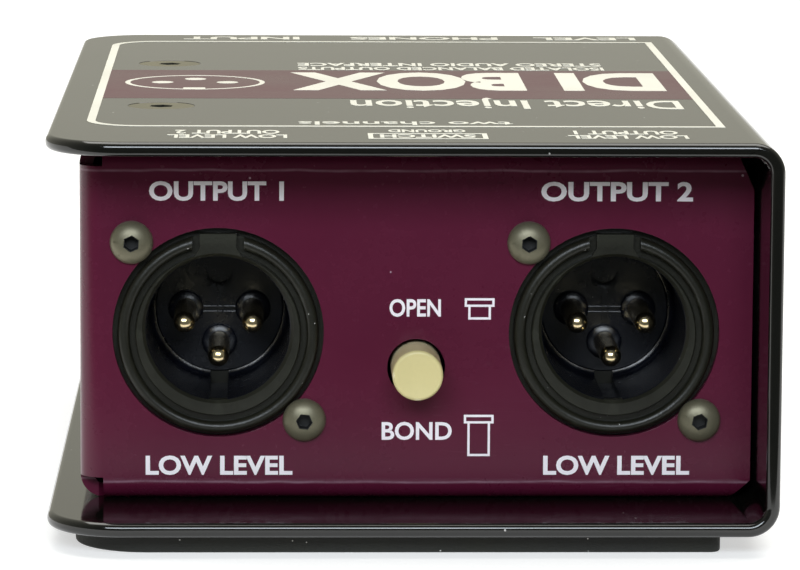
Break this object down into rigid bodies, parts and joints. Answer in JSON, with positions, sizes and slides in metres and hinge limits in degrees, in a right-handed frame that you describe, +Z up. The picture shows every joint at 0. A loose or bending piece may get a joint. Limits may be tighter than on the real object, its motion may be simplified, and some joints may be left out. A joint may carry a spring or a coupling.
{
  "type": "direct injection box",
  "caption": "Stereo direct injection box: folded steel cover around a chassis, twin balanced outputs, lift and mono buttons, level knob, phones and computer sockets.",
  "frame": {"origin": "under the middle of the box, on the surface it stands on", "axes": "+Z up, the output end with its two sockets faces -Y, the closed spine of the cover is at +X"},
  "size_m": [0.08, 0.127, 0.0455],
  "materials": {
    "shell_paint": "fine-textured satin black powder coat",
    "chassis_paint": "satin maroon enamel",
    "pad_rubber": "matt",
    "screw_black": "black oxide",
    "plated_steel": "zinc plated",
    "connector_plastic": "satin moulded",
    "insert_plastic": "matt moulded",
    "contact_gold": "gold plated",
    "button_cream": "satin moulded",
    "plunger_white": "moulded",
    "switch_plastic": "moulded",
    "spring_steel": "drawn wire",
    "tinned": "tinned",
    "knob_plastic": "satin moulded",
    "board_green": "solder resist over laminate",
    "core_steel": "varnished laminations",
    "bobbin_plastic": "moulded",
    "winding_tape": "polyester tape over copper wire",
    "chip_black": "moulded epoxy",
    "can_sleeve": "sleeved aluminium can",
    "resistor_black": "glazed ceramic"
  },
  "bodies": {
    "box": {"outer_shell": "shell_paint", "base_pad": "pad_rubber", "chassis": "chassis_paint", "shell_screws_top": "screw_black", "shell_screws_bottom": "screw_black", "clinch_nuts": "plated_steel", "lift_spring": "spring_steel", "lift_switch_body": "switch_plastic", "lift_terminals": "tinned", "mono_spring": "spring_steel", "mono_switch_body": "switch_plastic", "mono_terminals": "tinned", "control_bush": "plated_steel", "control_washer": "plated_steel", "control_nut": "plated_steel", "control_body": "switch_plastic", "control_terminals": "tinned", "phones_bush": "plated_steel", "phones_nut": "screw_black", "phones_body": "switch_plastic", "phones_contacts": "tinned", "usb_shell": "plated_steel", "usb_housing": "insert_plastic", "usb_contacts": "contact_gold", "circuit_board": "board_green", "board_standoffs": "plated_steel", "board_screws": "plated_steel", "codec_chip": "chip_black", "link_chip": "chip_black", "clock_crystal": "plated_steel", "electrolytic_capacitors": "can_sleeve", "chip_resistors": "resistor_black", "xlr_left_housing": "connector_plastic", "xlr_left_insert": "insert_plastic", "xlr_left_pins": "contact_gold", "xlr_left_ground_tab": "tinned", "xlr_left_screws": "screw_black", "transformer_left_core": "core_steel", "transformer_left_bobbin": "bobbin_plastic", "transformer_left_winding": "winding_tape", "transformer_left_pins": "tinned", "xlr_right_housing": "connector_plastic", "xlr_right_insert": "insert_plastic", "xlr_right_pins": "contact_gold", "xlr_right_ground_tab": "tinned", "xlr_right_screws": "screw_black", "transformer_right_core": "core_steel", "transformer_right_bobbin": "bobbin_plastic", "transformer_right_winding": "winding_tape", "transformer_right_pins": "tinned"},
    "lift_button": {"lift_button": "button_cream", "lift_plunger": "plunger_white"},
    "mono_button": {"mono_button": "button_cream", "mono_plunger": "plunger_white"},
    "level_knob": {"level_knob": "knob_plastic", "level_shaft": "plated_steel"}
  },
  "joints": [
    {"name": "lift_button_slide", "type": "slide", "parent": "box", "child": "lift_button", "axis": [0, 1, 0], "range_m": [0, 0.0025], "stiffness_N_per_m": 300, "springref_m": -0.002, "deforming": ["lift_spring"]},
    {"name": "mono_button_slide", "type": "slide", "parent": "box", "child": "mono_button", "axis": [0, -1, 0], "range_m": [0, 0.0025], "stiffness_N_per_m": 300, "springref_m": -0.002, "deforming": ["mono_spring"]},
    {"name": "level_knob_turn", "type": "hinge", "parent": "box", "child": "level_knob", "pos_m": [0.012, 0.05, 0.0189], "axis": [0, 1, 0], "range_deg": [-150, 150]}
  ]
}
